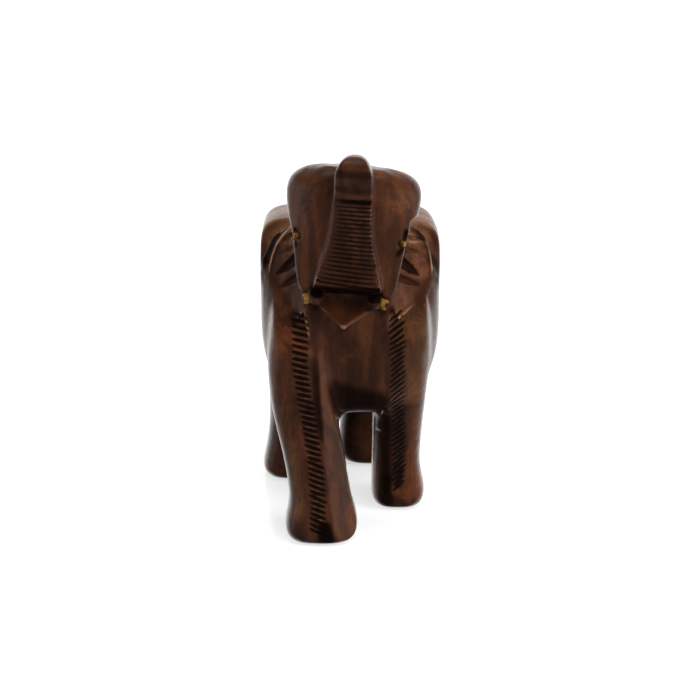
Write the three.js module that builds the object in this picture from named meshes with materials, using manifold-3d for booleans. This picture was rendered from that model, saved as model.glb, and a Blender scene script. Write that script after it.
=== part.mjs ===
// Carved wooden elephant with a raised trunk: one block of wood, two brass eye pins, two brass tusk ferrules.
// Millimetres, +Z up. The elephant looks along -Y and stands on its four flat soles at z = 0.
import * as THREE from "three";
import { mergeVertices } from "three/addons/utils/BufferGeometryUtils.js";
import Module from "manifold-3d";

const wasm = await Module();
wasm.setup();

// ---- Driving dimensions ----
const bodyLength = 123; // front of the leading foot to the rump
const bodyWidth = 70; // flank to flank
const backHeight = 118; // withers above the ground
const bellyClearance = 47; // ground to belly
const crownRise = 24.5; // two forehead domes above the withers
const trunkRise = 7.5; // raised trunk tip above the domes
const headWidth = 49.5; // across the domes
const browWidth = 42; // across the eyes
const muzzleWidth = 36.5; // across the corners of the mouth
const headDepth = 33; // face to nape
const trunkSway = 0.9; // trunk off the middle of the face, towards +X
const trunkTipWidth = 14.2;
const trunkRootWidth = 25.5;
const lipDrop = 11.5; // corners of the mouth down to the point of the lower lip
const earReach = 31.2; // middle of the head to the outer edge of an ear
const earThickness = 3.2;
const legWidth = 24; // leading foreleg, side to side
const soleFlare = 1.6; // how far a foot stands out beyond its sole
const headTurn = THREE.MathUtils.degToRad(4.5); // towards -X
const headTilt = THREE.MathUtils.degToRad(3.5); // crown towards +X
const headSway = -0.7; // head carried towards -X
const eyePinDiameter = 2.1;
const eyePinLength = 6;
const ferruleDiameter = 4.2;
const ferruleBore = 2.2;
const ferruleLength = 4.2;
const fitGap = 0.3; // brass to wood

// ---- Places worked out from them ----
const flank = bodyWidth / 2;
const frontY = -bodyLength / 2;
const rumpY = bodyLength / 2;
const chestY = frontY + 19;
const faceY = frontY + 11; // front of the face beside the trunk
const crownZ = backHeight + crownRise;
const tipZ = crownZ + trunkRise;
const eyeZ = backHeight - 2;
const mouthZ = backHeight - 18; // roof of the mouth, where the trunk starts
const lipZ = mouthZ - 4;
const headPivot = new THREE.Vector3(0, faceY + 3, eyeZ - 4);

// ---- Surfaces ----

// A value between b and c on the smooth curve through a, b, c, d.
function between(a, b, c, d, t) {
  const start = (c - a) / 2;
  const end = (d - b) / 2;
  const t2 = t * t;
  const t3 = t2 * t;
  return b * (2 * t3 - 3 * t2 + 1) + start * (t3 - 2 * t2 + t) + c * (3 * t2 - 2 * t3) + end * (t3 - t2);
}

// Rows of numbers, with perSpan smooth steps from each row to the next.
function smoothRows(rows, perSpan) {
  const out = [];
  for (let i = 0; i < rows.length - 1; i++) {
    const a = rows[Math.max(i - 1, 0)];
    const d = rows[Math.min(i + 2, rows.length - 1)];
    for (let step = 0; step < perSpan; step++) {
      out.push(a.map((_, k) => between(a[k], rows[i][k], rows[i + 1][k], d[k], step / perSpan)));
    }
  }
  out.push(rows.at(-1));
  return out;
}

// A closed skin over rings of points, each end closed by a fan on its middle.
function skin(rings) {
  const around = rings[0].length;
  const points = rings.flat();
  const faces = [];
  for (let r = 0; r < rings.length - 1; r++) {
    for (let i = 0; i < around; i++) {
      const j = (i + 1) % around;
      const [a, b, c, d] = [r * around + i, r * around + j, (r + 1) * around + i, (r + 1) * around + j];
      faces.push(a, b, d, a, d, c);
    }
  }
  for (const [ring, first] of [[rings[0], 0], [rings.at(-1), points.length - around]]) {
    const middle = new THREE.Vector3();
    ring.forEach((p) => middle.addScaledVector(p, 1 / around));
    const hub = points.push(middle) - 1;
    for (let i = 0; i < around; i++) {
      const edge = [first + i, first + ((i + 1) % around)];
      faces.push(hub, ...(first ? edge : edge.reverse()));
    }
  }
  return new THREE.BufferGeometry().setFromPoints(points).setIndex(faces);
}

// A closed geometry as a manifold-3d solid, turned right side out when its rings ran the other way.
function solidOf(geometry) {
  const bare = geometry.clone();
  bare.deleteAttribute("normal");
  bare.deleteAttribute("uv");
  const merged = mergeVertices(bare, 1e-4);
  const triVerts = new Uint32Array(merged.index.array);
  const vertProperties = merged.attributes.position.array;
  const build = () => new wasm.Manifold(new wasm.Mesh({ numProp: 3, vertProperties, triVerts }));
  const solid = build();
  if (solid.volume() >= 0) return solid;
  for (let i = 0; i < triVerts.length; i += 3) {
    [triVerts[i + 1], triVerts[i + 2]] = [triVerts[i + 2], triVerts[i + 1]];
  }
  return build();
}

// A ring of a squared oval: 2 is an ellipse, larger is boxier. u and v are its two directions, and its
// lower half may have a squareness of its own.
function ovalRing(centre, u, v, halfU, halfV, square, count, lowerSquare = square) {
  return Array.from({ length: count }, (_, i) => {
    const angle = ((i + 0.5) / count) * 2 * Math.PI;
    const power = 2 / (Math.sin(angle) > 0 ? square : lowerSquare);
    const lobe = (value) => Math.sign(value) * Math.abs(value) ** power;
    return centre
      .clone()
      .addScaledVector(u, halfU * lobe(Math.cos(angle)))
      .addScaledVector(v, halfV * lobe(Math.sin(angle)));
  });
}

const alongX = new THREE.Vector3(1, 0, 0);
const alongY = new THREE.Vector3(0, 1, 0);
const alongZ = new THREE.Vector3(0, 0, 1);

// ---- Torso: squared ovals across X and Z, from the chest to the rump ----
// Each row: place from chest (0) to rump (1), half width over the flank's, back drop, belly rise,
// sideways sway, squareness of the back and of the belly.
function torso() {
  const rows = [
    [0, 0.22, 42, 24, 0, 2.4, 2.4],
    [0.012, 0.46, 33, 10, 0, 2.6, 2.6],
    [0.04, 0.67, 20, 1.5, 0, 3, 3],
    [0.085, 0.83, 10, -2.4, 0, 4.4, 3],
    [0.14, 0.95, 3, -2.6, 0, 7, 2.9],
    [0.2, 0.99, 0.5, -1.8, 0, 9, 2.8],
    [0.32, 1, 0, -0.6, 0, 9, 2.8],
    [0.46, 1, 0.8, 0.6, -0.3, 9, 2.8],
    [0.61, 1, 2.4, 2, -0.8, 8, 2.8],
    [0.76, 0.98, 6.6, 4, -1.4, 4.6, 3],
    [0.88, 0.91, 13, 8, -1.9, 2.9, 2.8],
    [0.96, 0.74, 22, 14, -2, 2.5, 2.5],
    [1, 0.42, 34, 22, -2, 2.2, 2.2],
  ];
  const rings = smoothRows(rows, 2).map(([place, share, drop, rise, sway, back, belly]) => {
    const top = backHeight - drop;
    const bottom = bellyClearance + rise;
    const centre = new THREE.Vector3(sway, THREE.MathUtils.lerp(chestY, rumpY, place), (top + bottom) / 2);
    return ovalRing(centre, alongX, alongZ, flank * share, (top - bottom) / 2, back, 44, belly);
  });
  return solidOf(skin(rings));
}

// ---- Legs: squared ovals across X and Y, from the sole up into the body ----
// Each row: height from sole (0) to shoulder or hip (1), outer face inside the flank, front face behind
// the foremost foot, width, depth.
const foreTop = bellyClearance + 38;
const hindTop = bellyClearance + 34;
const legs = {
  leading_fore: {
    side: -1,
    top: foreTop,
    rows: [
      [0.09, 9.8, 0.4, legWidth + 4.2, 26.5],
      [0.21, 11.6, 2.4, legWidth - 0.4, 24],
      [0.41, 8.8, 5.4, legWidth - 0.4, 24],
      [0.58, 5.2, 8.8, legWidth, 25],
      [0.77, 3.4, 12.5, legWidth, 27],
      [0.9, 4, 16, legWidth - 2.4, 28],
      [1.06, 5.4, 19.4, legWidth - 5, 27],
      [1.22, 8, 24, legWidth - 9, 22],
      [1.34, 12, 31, legWidth - 14, 14],
    ],
  },
  trailing_fore: {
    side: 1,
    top: foreTop,
    rows: [
      [0.09, 4.8, 34.8, legWidth - 2.2, 24.9],
      [0.23, 7, 35, legWidth - 4.6, 21],
      [0.5, 5.6, 29.6, legWidth - 3.4, 23],
      [0.76, 4, 22.6, legWidth - 2, 26],
      [0.9, 4, 17.6, legWidth - 2.6, 28],
      [1.06, 5.4, 19.8, legWidth - 5, 27],
      [1.22, 8, 24, legWidth - 9, 22],
      [1.34, 12, 31, legWidth - 14, 14],
    ],
  },
  leading_hind: {
    side: -1,
    top: hindTop,
    rows: [
      [0.06, -2, 65.2, legWidth + 2, 28],
      [0.22, 0.6, 66, legWidth - 1, 27],
      [0.42, 1.1, 65.4, legWidth, 34],
      [0.66, 0.7, 63, legWidth + 4, 44],
      [1, 4, 64, legWidth + 4, 52],
      [1.2, 9, 70, legWidth - 4, 40],
    ],
  },
  trailing_hind: {
    side: 1,
    top: hindTop,
    rows: [
      [0.06, 9.4, 81.8, legWidth + 6.5, 28],
      [0.22, 8.8, 82, legWidth + 6.5, 28],
      [0.42, 5.2, 79.6, legWidth + 8, 33],
      [0.66, 2.4, 73, legWidth + 7, 42],
      [1, 4, 66, legWidth + 4, 51],
      [1.2, 9, 72, legWidth - 4, 38],
    ],
  },
};

function leg({ side, top, rows }) {
  const ringAt = (height, inset, back, width, depth) => {
    const x = side * (flank - inset - width / 2);
    const centre = new THREE.Vector3(x, frontY + back + depth / 2, height);
    return ovalRing(centre, alongX, alongY, width / 2, depth / 2, 3, 28);
  };
  const [, inset, back, width, depth] = rows[0];
  const trimmed = (by, height) => ringAt(height, inset + by, back + by, width - 2 * by, depth - 2 * by);
  const foot = [trimmed(soleFlare, 0), trimmed(soleFlare * 0.45, 0.9), trimmed(soleFlare * 0.1, 2.6)];
  const shaft = smoothRows(rows, 2).map(([share, ...size]) => ringAt(share * top, ...size));
  return solidOf(skin([...foot, ...shaft]));
}

// ---- Head: level outlines from the jaw to the crown, mirrored about the middle of the face ----

// Half an outline from the middle of the front to the middle of the back, each point [x, y, softness]:
// softness 1 rounds the outline there and 0 leaves an edge. The other half mirrors it.
function mirroredRing(half, z, perSpan) {
  const other = half.slice(1, -1).reverse();
  const loop = [...half.map(([x, y, s]) => [x, y, s]), ...other.map(([x, y, s]) => [-x, y, s])];
  const ring = [];
  loop.forEach(([x, y, softness], i) => {
    const [px, py] = loop.at(i - 1);
    const [nx, ny, nextSoftness] = loop[(i + 1) % loop.length];
    const [fx, fy] = loop[(i + 2) % loop.length];
    for (let step = 0; step < perSpan; step++) {
      const t = step / perSpan;
      const t2 = t * t;
      const t3 = t2 * t;
      const blend = (p, a, b, f) =>
        a * (2 * t3 - 3 * t2 + 1) +
        ((b - p) / 2) * softness * (t3 - 2 * t2 + t) +
        b * (3 * t2 - 2 * t3) +
        ((f - a) / 2) * nextSoftness * (t3 - t2);
      ring.push(new THREE.Vector3(blend(px, x, nx, fx), blend(py, y, ny, fy), z));
    }
  });
  return ring;
}

// Each row: height, then x, depth behind the face and softness at the cheek, the face's edge, the temple and
// the nape, with the depth of the middle of the front and of the back.
function head() {
  const dome = headWidth / 2;
  const brow = browWidth / 2;
  const muzzle = muzzleWidth / 2;
  const cheek = (brow + muzzle) / 2;
  const rows = [
    [mouthZ - 8, 6, muzzle * 0.45, 5, muzzle - 4.4, 7, 0.5, muzzle - 5, 13, headDepth],
    [mouthZ - 4.5, 3, muzzle * 0.5, 2.6, muzzle - 1.6, 4.2, 0.15, muzzle - 2, 12, headDepth],
    [mouthZ, 0.6, muzzle * 0.5, 0.6, muzzle, 2.6, 0.1, muzzle + 0.6, 12, headDepth],
    [mouthZ + 8, 0, muzzle * 0.5, 0.2, cheek, 3.4, 0.1, brow - 1.6, 13, headDepth],
    [eyeZ + 1, 0.4, brow * 0.5, 0.5, brow, 5, 0.25, brow, 14, headDepth],
    [eyeZ + 8, 1.4, dome * 0.5, 1.2, dome - 2, 7.4, 0.7, dome - 1.2, 16, headDepth],
    [crownZ - 10, 3, dome * 0.5, 2, dome - 1.4, 9.4, 1, dome, 17, headDepth - 2],
    [crownZ - 5, 5, dome * 0.48, 3.6, dome - 3.4, 10.6, 1, dome - 1.4, 17, headDepth - 5],
    [crownZ - 1.8, 8, dome * 0.44, 6.4, dome - 8, 12.2, 1, dome - 6, 17, headDepth - 9],
    [crownZ, 12, dome * 0.4, 11, dome - 13.5, 14, 1, dome - 12, 17, headDepth - 13],
  ];
  const rings = smoothRows(rows, 3).map(
    ([z, front, sideX, sideDepth, edgeX, edge, softness, templeX, temple, nape]) =>
      mirroredRing(
        [
          [0, faceY + front, 1],
          [sideX, faceY + sideDepth, 1],
          [edgeX, faceY + edge, softness],
          [templeX, faceY + temple, 1],
          [templeX * 0.84, faceY + nape - 5, 1],
          [0, faceY + nape, 1],
        ],
        z,
        4,
      ),
  );
  return solidOf(skin(rings));
}

// ---- Trunk: raised in front of the forehead, its ribbed underside forward, its tip curled out ----
function trunk() {
  const root = trunkRootWidth / 2;
  const tip = trunkTipWidth / 2;
  const creaseZ = tipZ - 16.5;
  const span = creaseZ - mouthZ;
  // Height, front face behind the foremost foot, half width, where the back of the trunk lies.
  const rows = [
    [mouthZ, 3.4, root, 22],
    [mouthZ + span * 0.12, 4.4, root * 0.93, 22],
    [mouthZ + span * 0.3, 6.2, root * 0.8, 22],
    [mouthZ + span * 0.55, 7.2, tip * 1.14, 22],
    [mouthZ + span * 0.8, 7, tip * 1.03, 22],
    [creaseZ, 6.2, tip, 22],
    [creaseZ + 4, 4.2, tip, 21],
    [creaseZ + 9, 1.2, tip * 0.97, 19],
    [creaseZ + 12.6, 0, tip * 0.84, 15],
    [creaseZ + 14.8, 1.4, tip * 0.66, 12.5],
    [creaseZ + 16, 3.6, tip * 0.46, 11],
    [tipZ, 5.6, tip * 0.2, 9],
  ];
  const rings = smoothRows(rows, 2).map(([z, front, half, back]) =>
    mirroredRing(
      [
        [0, frontY + front, 1],
        [half * 0.55, frontY + front + 0.1, 1],
        [half, frontY + front + 0.8, 0.15],
        [half * 0.98, THREE.MathUtils.lerp(frontY + front, frontY + back, 0.55), 1],
        [half * 0.6, frontY + back, 1],
        [0, frontY + back + 0.6, 1],
      ],
      z,
      2,
    ),
  );
  return solidOf(skin(rings)).translate([trunkSway, 0, 0]);
}

// ---- Lower lip: a pointed scoop under the trunk's root ----
function lowerLip() {
  const corner = muzzleWidth / 2 - 2.6;
  const point = lipZ - lipDrop;
  // Height, front behind the face, half width at the crisp edge, how far the edge stands behind the front.
  const rows = [
    [lipZ + 1.4, 7, corner + 0.6, 0.4, 26],
    [lipZ, 4.6, corner, 0.4, 26],
    [lipZ - lipDrop * 0.35, 1.6, corner * 0.66, -0.4, 24],
    [lipZ - lipDrop * 0.7, -1.4, corner * 0.33, -0.6, 21],
    [point, -3.6, corner * 0.06, -0.2, 16],
    [point - 1.4, -1.6, corner * 0.04, 0, 12],
  ];
  const rings = smoothRows(rows, 2).map(([z, front, half, lag, back]) =>
    mirroredRing(
      [
        [0, faceY + front, 1],
        [half * 0.5, faceY + front + lag * 0.4, 1],
        [half, faceY + front + lag, 0],
        [half + 0.8, faceY + front + 6, 1],
        [half + 0.6, faceY + back, 1],
        [0, faceY + back + 1, 1],
      ],
      z,
      2,
    ),
  );
  return solidOf(skin(rings));
}

// A wedge cut for the open mouth, between the trunk's root and the lower lip.
function mouthCut() {
  const half = muzzleWidth / 2 - 5.2;
  const rows = [
    [faceY - 12, mouthZ + 0.2, lipZ + 0.6, half + 2],
    [faceY + 1, mouthZ + 0.6, lipZ + 0.4, half],
    [faceY + 5, mouthZ + 0.4, lipZ + 1, half - 1],
    [faceY + 9, mouthZ - 0.8, lipZ + 1.8, half - 4],
  ];
  const rings = rows.map(([y, top, bottom, wide]) => {
    const centre = new THREE.Vector3(0, y, (top + bottom) / 2);
    return ovalRing(centre, alongX, alongZ, wide, (top - bottom) / 2, 3, 20);
  });
  return solidOf(skin(rings));
}

// ---- Ears: scooped leaves from the temple down to a point beside the lip ----
// Each row: height from the ear's point (0) to its top (1), root x, root depth behind the face, reach of the
// outer edge (0 at the root, 1 full), depth of the edge behind the face.
const earRows = [
  [0, 21, 10, 0.14, 11],
  [0.1, 19.4, 9.5, 0.42, 13],
  [0.24, 17.5, 9, 0.74, 15.5],
  [0.42, 16.5, 9, 1, 18.5],
  [0.62, 17, 10.5, 0.96, 20],
  [0.8, 18.5, 12, 0.74, 20],
  [0.92, 19.5, 13.5, 0.42, 19],
  [1, 20, 15, 0.1, 17.5],
];

// A closed loft up an ear: outlineOf gives the [x, depth behind the face] points of each level.
function earLoft(side, outlineOf) {
  const top = backHeight + 1;
  const point = lipZ - lipDrop - 1.5;
  const rings = smoothRows(earRows, 3).map(([share, rootX, root, reach, edge]) => {
    const z = THREE.MathUtils.lerp(point, top, share);
    const edgeX = rootX + (earReach - rootX) * reach;
    const midDepth = (root + edge) / 2 + 1.6 * reach;
    const midX = (rootX + edgeX) / 2;
    const outline = outlineOf({ rootX, root, edgeX, edge, midX, midDepth, reach });
    return outline.map(([x, depth]) => new THREE.Vector3(side * x, faceY + depth, z));
  });
  return solidOf(skin(rings));
}

function ear(side) {
  return earLoft(side, ({ rootX, root, edgeX, edge, midX, midDepth, reach }) => {
    const thick = earThickness * (0.45 + 0.55 * reach);
    return [
      [rootX - 3, root - 1],
      [midX, midDepth - 1.2],
      [edgeX, edge - 0.5],
      [edgeX + 0.5, edge + thick * 0.5],
      [edgeX - 0.6, edge + thick],
      [midX, midDepth + thick + 1],
      [rootX - 3, root + thick + 7],
      [rootX - 6, root + 3],
    ];
  });
}

// The wood cleared away in front of an ear and outside its edge.
function earClearing(side) {
  const ahead = 16;
  const beyond = 9;
  return earLoft(side, ({ rootX, root, edgeX, edge, midX, midDepth, reach }) => [
    [rootX - 4, root - 1 - ahead],
    [rootX - 4, root - 0.6],
    [midX, midDepth - 0.6],
    [edgeX, edge],
    [edgeX + beyond * reach, edge + 1.5 * reach],
    [edgeX + beyond * reach, edge - ahead],
  ]);
}

// The deep groove that frees an ear from the shoulder behind it: a tapering sweep along the ear's edge.
// Each row: sideways, depth behind the face, below the withers, radius.
function earGroove(side) {
  const rows = [
    [14, 25, -5, 3],
    [22, 27, -1, 4.4],
    [29.5, 27.5, 4, 5.2],
    [34.5, 27, 11, 5.4],
    [37, 25.5, 17.5, 4.4],
    [38.4, 23, 23.5, 1.6],
  ];
  const rings = smoothRows(rows, 3).map(([x, depth, drop, radius]) => {
    const centre = new THREE.Vector3(side * x, faceY + depth, backHeight - drop);
    return ovalRing(centre, new THREE.Vector3(side, 0, 1).normalize(), alongY, radius * 0.9, radius, 2, 14);
  });
  return solidOf(skin(rings));
}

// The shallow valley between the two domes of the forehead, from behind the trunk down to the nape.
function crownCleft() {
  const rows = [
    [9, 3.4, 2.4],
    [14, 3.6, 3.2],
    [20, 2.2, 3.6],
    [26, -3.4, 3.4],
    [31.4, -12, 2.4],
    [35, -21, 0.9],
  ];
  const rings = smoothRows(rows, 2).map(([depth, rise, radius]) => {
    const centre = new THREE.Vector3(0, faceY + depth, crownZ + rise);
    return ovalRing(centre, alongX, new THREE.Vector3(0, 1, 1).normalize(), radius * 2.4, radius, 2, 16);
  });
  return solidOf(skin(rings));
}

// ---- Tail: hangs down the middle of the rump in relief, with a tuft at its end ----
function tail() {
  // Sideways, behind the rump's end, below the withers, half width, half thickness.
  const rows = [
    [-2, -18, 10, 4, 5],
    [-2.4, -9.4, 17, 5.6, 5.4],
    [-2, -3.4, 27, 5, 4.8],
    [-0.8, -1.6, 38, 4.2, 4.4],
    [0.8, -2, 49, 3.8, 4.4],
    [2, -4.4, 58, 4.2, 4.6],
    [2.6, -6.8, 66, 5, 4.8],
    [2.4, -8.6, 73, 4, 3.8],
    [1.8, -10, 78, 1, 1.4],
  ];
  const rings = smoothRows(rows, 2).map(([x, behind, drop, wide, thick]) =>
    ovalRing(new THREE.Vector3(x, rumpY + behind, backHeight - drop), alongX, alongY, wide, thick, 2.4, 14),
  );
  return solidOf(skin(rings));
}

// ---- Brass: pins and ferrules stand in sockets that point out of the head ----
// Places are in the upright head, before it is turned and tilted.
function headSocket(x, depth, z, outward, downward) {
  const direction = new THREE.Vector3(Math.sin(outward), -Math.cos(outward), -Math.sin(downward)).normalize();
  return { seat: new THREE.Vector3(x, faceY + depth, z), direction };
}

const eyeAngle = THREE.MathUtils.degToRad(52);
const tuskAngle = THREE.MathUtils.degToRad(72);
const tuskDip = THREE.MathUtils.degToRad(12);
const sides = { left: -1, right: 1 };

function eyeSocket(side) {
  return headSocket(side * (browWidth / 2 - 1), 4.3, eyeZ + 1, side * eyeAngle, 0);
}

function tuskSocket(side) {
  return headSocket(side * (muzzleWidth / 2 - 4.2), 2.4, lipZ - 2, side * tuskAngle, tuskDip);
}

// A round bar or tube about its own axis, from `from` to `to` along the socket's direction.
function turned({ seat, direction }, radius, from, to, bore = 0) {
  const ease = 0.25;
  const profile = [
    [bore, from],
    [radius, from],
    [radius, to - ease],
    [radius - ease, to],
    [bore, to],
  ].map(([r, along]) => new THREE.Vector2(r, along));
  if (bore) profile.push(profile[0].clone());
  const turn = new THREE.Quaternion().setFromUnitVectors(alongY, direction);
  return new THREE.LatheGeometry(profile, 28).applyQuaternion(turn).translate(...seat);
}

const eyeProud = 0.7;
const ferruleProud = 1.5;
const headPose = new THREE.Matrix4()
  .makeTranslation(headPivot.x + headSway, headPivot.y, headPivot.z)
  .multiply(new THREE.Matrix4().makeRotationFromEuler(new THREE.Euler(0, headTilt, -headTurn)))
  .multiply(new THREE.Matrix4().makeTranslation(headPivot.clone().negate()));

// A solid of the upright head, turned and tilted with it.
function posed(solid) {
  const mesh = solid.getMesh();
  const geometry = new THREE.BufferGeometry()
    .setAttribute("position", new THREE.BufferAttribute(mesh.vertProperties, 3))
    .setIndex(new THREE.BufferAttribute(mesh.triVerts, 1));
  return solidOf(geometry.applyMatrix4(headPose));
}

function carvedBody() {
  let body = torso();
  for (const one of Object.values(legs)) body = body.add(leg(one));
  body = body.add(tail());
  for (const side of [-1, 1]) body = body.subtract(posed(earGroove(side))).subtract(posed(earClearing(side)));

  let carvedHead = head().subtract(crownCleft()).add(trunk()).add(lowerLip()).subtract(mouthCut());
  for (const side of [-1, 1]) carvedHead = carvedHead.add(ear(side));
  body = body.add(posed(carvedHead));
  for (const side of [-1, 1]) {
    const eyeFloor = eyeProud - eyePinLength - fitGap;
    const tuskFloor = ferruleProud - ferruleLength - fitGap;
    const eyeHole = turned(eyeSocket(side), eyePinDiameter / 2 + fitGap, eyeFloor, 9);
    const tuskHole = turned(tuskSocket(side), ferruleDiameter / 2 + fitGap, tuskFloor, 9);
    body = body.subtract(posed(solidOf(eyeHole))).subtract(posed(solidOf(tuskHole)));
  }
  return body;
}

// ---- Assembly ----
const lacqueredWood = new THREE.MeshStandardMaterial({ color: "#5a3524", roughness: 0.3, metalness: 0 });
const brass = () => new THREE.MeshStandardMaterial({ color: "#c9a24a", roughness: 0.28, metalness: 1 });

const elephant = new THREE.Group();

function addMesh(name, geometry, material) {
  const mesh = new THREE.Mesh(geometry, material);
  mesh.name = name;
  elephant.add(mesh);
}

const carved = carvedBody().getMesh();
addMesh(
  "carved_body",
  new THREE.BufferGeometry()
    .setAttribute("position", new THREE.BufferAttribute(carved.vertProperties, 3))
    .setIndex(new THREE.BufferAttribute(carved.triVerts, 1)),
  lacqueredWood,
);
for (const [name, side] of Object.entries(sides)) {
  const pin = turned(eyeSocket(side), eyePinDiameter / 2, eyeProud - eyePinLength, eyeProud);
  const ferrule = turned(
    tuskSocket(side),
    ferruleDiameter / 2,
    ferruleProud - ferruleLength,
    ferruleProud,
    ferruleBore / 2,
  );
  addMesh(`${name}_eye_pin`, pin.applyMatrix4(headPose), brass());
  addMesh(`${name}_tusk_ferrule`, ferrule.applyMatrix4(headPose), brass());
}

// The origin is the middle of the footprint, on the ground.
const box = new THREE.Box3().setFromObject(elephant, true);
const middle = box.getCenter(new THREE.Vector3());
elephant.position.set(-middle.x, -middle.y, -box.min.z);

export default elephant;
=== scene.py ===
"""Carved wooden elephant with brass eyes and brass tusk ferrules.

The carved block is finished the way a carver finishes it: the blank is rounded and its joins are
filleted, facets and hollows are pared, rows of knife cuts are made, and the wood is lacquered. Painted
shade darkens its cuts, hollows and shaded parts, and painted light and wear make its tops and edges paler.
"""
import math

import bmesh
import bpy
import numpy as np
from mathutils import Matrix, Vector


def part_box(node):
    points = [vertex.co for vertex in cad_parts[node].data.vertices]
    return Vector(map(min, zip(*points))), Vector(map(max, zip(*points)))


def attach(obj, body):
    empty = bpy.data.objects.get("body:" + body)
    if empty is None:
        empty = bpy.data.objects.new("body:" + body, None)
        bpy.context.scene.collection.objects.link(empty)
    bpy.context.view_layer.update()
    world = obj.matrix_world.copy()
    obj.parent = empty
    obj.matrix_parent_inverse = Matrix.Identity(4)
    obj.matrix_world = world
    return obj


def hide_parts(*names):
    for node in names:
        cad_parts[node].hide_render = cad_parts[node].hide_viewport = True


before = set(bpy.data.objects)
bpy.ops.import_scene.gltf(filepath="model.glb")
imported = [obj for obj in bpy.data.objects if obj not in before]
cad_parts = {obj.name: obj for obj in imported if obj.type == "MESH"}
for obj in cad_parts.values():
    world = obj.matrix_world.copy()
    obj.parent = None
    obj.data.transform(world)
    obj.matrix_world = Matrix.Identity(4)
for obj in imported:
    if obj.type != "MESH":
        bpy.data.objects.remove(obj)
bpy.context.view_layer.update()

import openvdb
from mathutils import Vector

MM = 0.001
VOXEL = 0.35  # mm, of the carving block
BLANK_VOXEL = 0.8  # mm, while the blank is rounded
BLANK_MARGIN = 9.0  # mm of air round the blank
CARVING_MARGIN = 3.0  # mm of air round the carving
BLUR_REACH = 2.6  # radii at which a blur is cut off
FILLET = 3.0  # mm, radius of the hollows between legs and body
BODY_SOFTNESS = 2.0  # mm
HEAD_SOFTNESS = 0.6  # mm
KNIFE_SOFTNESS = 0.22  # mm, what sanding and lacquer take off a cut's edges
FINISHED_TRIANGLES = 190000
LIMITS = [(low / MM, high / MM) for low, high in zip(*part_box("carved_body"))]  # mm, of the CAD body


# ---- Arrays of distance to the surface, in mm, negative in the wood ----

class Block:
    """A box of voxels round the carving, with a margin of air."""

    def __init__(self, margin, voxel):
        self.voxel = voxel
        self.first = [int(math.floor((low - margin) / voxel)) for low, _ in LIMITS]
        self.shape = [int(math.ceil((high + margin) / voxel)) - first + 1
                      for (_, high), first in zip(LIMITS, self.first)]
        self.axes = [(np.arange(count, dtype=np.float32) + first) * voxel
                     for count, first in zip(self.shape, self.first)]

    def distance(self, points, triangles, reach):
        """Distance to a closed mesh, kept out to `reach` mm on both sides."""
        grid = openvdb.FloatGrid.createLevelSetFromPolygons(
            np.ascontiguousarray(points, np.float32),
            triangles=np.ascontiguousarray(triangles, np.uint32),
            transform=openvdb.createLinearTransform(voxelSize=self.voxel),
            halfWidth=reach / self.voxel,
        )
        out = np.empty(self.shape, np.float32)
        grid.copyToArray(out, ijk=self.first)
        return out

    def mesh(self, values, level=0.0):
        """The surface where the values are at `level`: points in mm and triangles that face outwards."""
        grid = openvdb.FloatGrid(float(values.max()))
        grid.transform = openvdb.createLinearTransform(voxelSize=self.voxel)
        grid.copyFromArray(np.ascontiguousarray(values), ijk=self.first, tolerance=0.0)
        points, quads = grid.convertToQuads(isovalue=level)
        triangles = np.concatenate([quads[:, [0, 1, 2]], quads[:, [0, 2, 3]]])
        return points, outward(points, triangles)

    def window(self, low, high):
        """Slices of the voxels between two corners, and their open coordinate arrays."""
        slices, coords = [], []
        for axis, a, b in zip(self.axes, low, high):
            start, stop = np.searchsorted(axis, [a, b])
            slices.append(slice(int(start), int(stop)))
            coords.append(axis[start:stop])
        return tuple(slices), np.meshgrid(*coords, indexing="ij", sparse=True)

    def sample(self, values, points):
        """Values at points in mm, blended from the eight voxels around each."""
        place = points / self.voxel - np.array(self.first, np.float32)
        place = np.clip(place, 0, np.array(self.shape, np.float32) - 1.001)
        base = place.astype(int)
        part = place - base
        total = np.zeros(len(points), np.float32)
        for corner in np.ndindex(2, 2, 2):
            weight = np.prod(np.where(corner, part, 1 - part), axis=1)
            total += weight * values[tuple((base + corner).T)]
        return total


def outward(points, triangles):
    """The triangles of a closed mesh, turned to face out of it."""
    a, b, c = (points[triangles[:, i]] for i in range(3))
    volume = np.einsum("ij,ij->", a, np.cross(b, c).astype(np.float64))
    return triangles if volume > 0 else triangles[:, ::-1]


def soften(values, radius, voxel):
    """A Gaussian blur of `radius` mm along each axis."""
    sigma = radius / voxel
    reach = max(1, int(round(sigma * BLUR_REACH)))
    weights = np.exp(-0.5 * (np.arange(-reach, reach + 1) / sigma) ** 2)
    weights = (weights / weights.sum()).astype(np.float32)
    for axis in range(3):
        margins = [(reach, reach) if a == axis else (0, 0) for a in range(3)]
        padded = np.pad(values, margins, mode="edge")
        length = values.shape[axis]
        total = np.zeros_like(values)
        for i, weight in enumerate(weights):
            cut = [slice(None)] * 3
            cut[axis] = slice(i, i + length)
            total += weight * padded[tuple(cut)]
        values = total
    return values


def ramp(x, start, end):
    """0 at the start and 1 at the end, eased at both."""
    t = np.clip((x - start) / (end - start), 0, 1)
    return t * t * (3 - 2 * t)


def smooth_max(a, b, round_mm):
    """The larger of two, with the crease between them rounded over about round_mm."""
    h = np.clip(0.5 + 0.5 * (a - b) / round_mm, 0, 1)
    return b + (a - b) * h + round_mm * h * (1 - h)


def mesh_arrays(mesh):
    """A mesh's points in mm and its triangles."""
    points = np.empty(len(mesh.vertices) * 3, np.float32)
    mesh.vertices.foreach_get("co", points)
    mesh.calc_loop_triangles()
    triangles = np.empty(len(mesh.loop_triangles) * 3, np.int32)
    mesh.loop_triangles.foreach_get("vertices", triangles)
    return points.reshape(-1, 3) / MM, triangles.reshape(-1, 3)


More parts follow.
